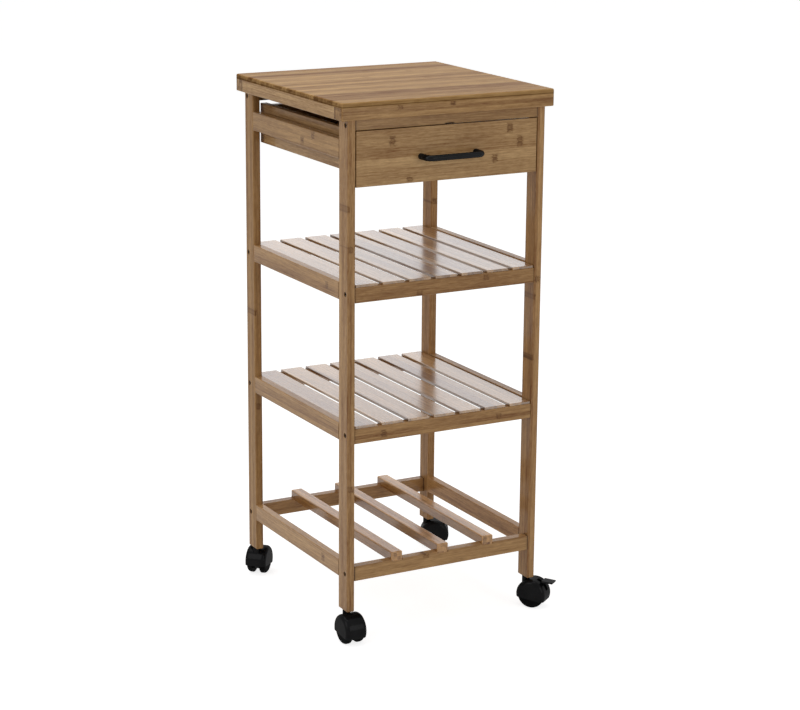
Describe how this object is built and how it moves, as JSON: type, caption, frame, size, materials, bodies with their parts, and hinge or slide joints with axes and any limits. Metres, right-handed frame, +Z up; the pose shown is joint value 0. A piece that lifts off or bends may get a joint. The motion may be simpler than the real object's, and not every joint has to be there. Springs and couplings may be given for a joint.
{
  "type": "kitchen trolley",
  "caption": "Tall square kitchen trolley on swivel castors, with a worktop, a drawer under it, slatted shelves and a bottle rack at the base.",
  "frame": {"origin": "on the floor, at the middle of the whole object's box in plan, which is 13 mm right of and 3.3 mm in front of the middle of the worktop, because the turned castors and brake levers reach out to that side", "axes": "+Z up, -Y towards the drawer front, +X to the right of someone facing the drawer"},
  "size_m": [0.3981, 0.4128, 0.85],
  "materials": {
    "bamboo": "laminated bamboo under a clear satin varnish",
    "black_plastic": "moulded black, glossy",
    "wheel_plastic": "hard black tread, satin",
    "lever_plastic": "moulded black, satin",
    "black_metal": "black, semi-gloss",
    "bolt_steel": "zinc-plated",
    "pin_steel": "plain turned steel"
  },
  "bodies": {
    "frame": {"top_panel": "bamboo", "top_strip_front": "bamboo", "top_strip_back": "bamboo", "top_strip_left": "bamboo", "top_strip_right": "bamboo", "leg_front_left": "bamboo", "leg_front_right": "bamboo", "leg_back_left": "bamboo", "leg_back_right": "bamboo", "top_rail_front": "bamboo", "top_rail_back": "bamboo", "upper_side_rail_left": "bamboo", "upper_side_rail_right": "bamboo", "drawer_runner_left": "bamboo", "drawer_runner_right": "bamboo", "shelf_1_rail_front": "bamboo", "shelf_1_rail_back": "bamboo", "shelf_1_rail_left": "bamboo", "shelf_1_rail_right": "bamboo", "shelf_1_slats": "bamboo", "shelf_2_rail_front": "bamboo", "shelf_2_rail_back": "bamboo", "shelf_2_rail_left": "bamboo", "shelf_2_rail_right": "bamboo", "shelf_2_slats": "bamboo", "base_rail_front": "bamboo", "base_rail_back": "bamboo", "base_rail_left": "bamboo", "base_rail_right": "bamboo", "bottle_bar_1": "bamboo", "bottle_bar_2": "bamboo", "bottle_bar_3": "bamboo", "frame_bolts": "bolt_steel", "caster_sockets": "black_plastic"},
    "drawer": {"drawer_front": "bamboo", "drawer_side_left": "bamboo", "drawer_side_right": "bamboo", "drawer_back": "bamboo", "drawer_bottom": "bamboo", "drawer_handle": "black_metal", "handle_screws": "bolt_steel"},
    "caster_front_left": {"caster_front_left_hood": "black_plastic", "caster_front_left_pins": "pin_steel"},
    "wheel_front_left_left": {"wheel_front_left_left": "wheel_plastic"},
    "wheel_front_left_right": {"wheel_front_left_right": "wheel_plastic"},
    "caster_front_right": {"caster_front_right_hood": "black_plastic", "caster_front_right_pins": "pin_steel"},
    "wheel_front_right_left": {"wheel_front_right_left": "wheel_plastic"},
    "wheel_front_right_right": {"wheel_front_right_right": "wheel_plastic"},
    "brake_lever_front_right": {"brake_lever_front_right": "lever_plastic"},
    "caster_back_left": {"caster_back_left_hood": "black_plastic", "caster_back_left_pins": "pin_steel"},
    "wheel_back_left_left": {"wheel_back_left_left": "wheel_plastic"},
    "wheel_back_left_right": {"wheel_back_left_right": "wheel_plastic"},
    "caster_back_right": {"caster_back_right_hood": "black_plastic", "caster_back_right_pins": "pin_steel"},
    "wheel_back_right_left": {"wheel_back_right_left": "wheel_plastic"},
    "wheel_back_right_right": {"wheel_back_right_right": "wheel_plastic"},
    "brake_lever_back_right": {"brake_lever_back_right": "lever_plastic"}
  },
  "joints": [
    {"name": "drawer_slide", "type": "slide", "parent": "frame", "child": "drawer", "axis": [0, -1, 0], "range_m": [0, 0.24]},
    {"name": "swivel_front_left", "type": "hinge", "parent": "frame", "child": "caster_front_left", "pos_m": [-0.1785, -0.1617, 0.06], "axis": [0, 0, 1], "continuous": true},
    {"name": "spin_front_left_left", "type": "hinge", "parent": "caster_front_left", "child": "wheel_front_left_left", "pos_m": [-0.1671, -0.1757, 0.0225], "axis": [1, 0, 0], "continuous": true},
    {"name": "spin_front_left_right", "type": "hinge", "parent": "caster_front_left", "child": "wheel_front_left_right", "pos_m": [-0.1899, -0.1757, 0.0225], "axis": [1, 0, 0], "continuous": true},
    {"name": "swivel_front_right", "type": "hinge", "parent": "frame", "child": "caster_front_right", "pos_m": [0.1525, -0.1617, 0.06], "axis": [0, 0, 1], "continuous": true},
    {"name": "spin_front_right_left", "type": "hinge", "parent": "caster_front_right", "child": "wheel_front_right_left", "pos_m": [0.16996, -0.1663, 0.0225], "axis": [0.8083, 0.5888, 0], "continuous": true},
    {"name": "spin_front_right_right", "type": "hinge", "parent": "caster_front_right", "child": "wheel_front_right_right", "pos_m": [0.15153, -0.17973, 0.0225], "axis": [0.8083, 0.5888, 0], "continuous": true},
    {"name": "brake_front_right", "type": "hinge", "parent": "caster_front_right", "child": "brake_lever_front_right", "pos_m": [0.16781, -0.18272, 0.0355], "axis": [0.8083, 0.5888, 0], "range_deg": [0, 20]},
    {"name": "swivel_back_left", "type": "hinge", "parent": "frame", "child": "caster_back_left", "pos_m": [-0.1785, 0.1683, 0.06], "axis": [0, 0, 1], "continuous": true},
    {"name": "spin_back_left_left", "type": "hinge", "parent": "caster_back_left", "child": "wheel_back_left_left", "pos_m": [-0.17691, 0.18628, 0.0225], "axis": [-0.717, 0.6971, 0], "continuous": true},
    {"name": "spin_back_left_right", "type": "hinge", "parent": "caster_back_left", "child": "wheel_back_left_right", "pos_m": [-0.16057, 0.17039, 0.0225], "axis": [-0.717, 0.6971, 0], "continuous": true},
    {"name": "swivel_back_right", "type": "hinge", "parent": "frame", "child": "caster_back_right", "pos_m": [0.1525, 0.1683, 0.06], "axis": [0, 0, 1], "continuous": true},
    {"name": "spin_back_right_left", "type": "hinge", "parent": "caster_back_right", "child": "wheel_back_right_left", "pos_m": [0.17027, 0.17148, 0.0225], "axis": [0.4848, 0.8746, 0], "continuous": true},
    {"name": "spin_back_right_right", "type": "hinge", "parent": "caster_back_right", "child": "wheel_back_right_right", "pos_m": [0.15922, 0.15154, 0.0225], "axis": [0.4848, 0.8746, 0], "continuous": true},
    {"name": "brake_back_right", "type": "hinge", "parent": "caster_back_right", "child": "brake_lever_back_right", "pos_m": [0.17524, 0.1557, 0.0355], "axis": [0.4848, 0.8746, 0], "range_deg": [0, 20]}
  ]
}
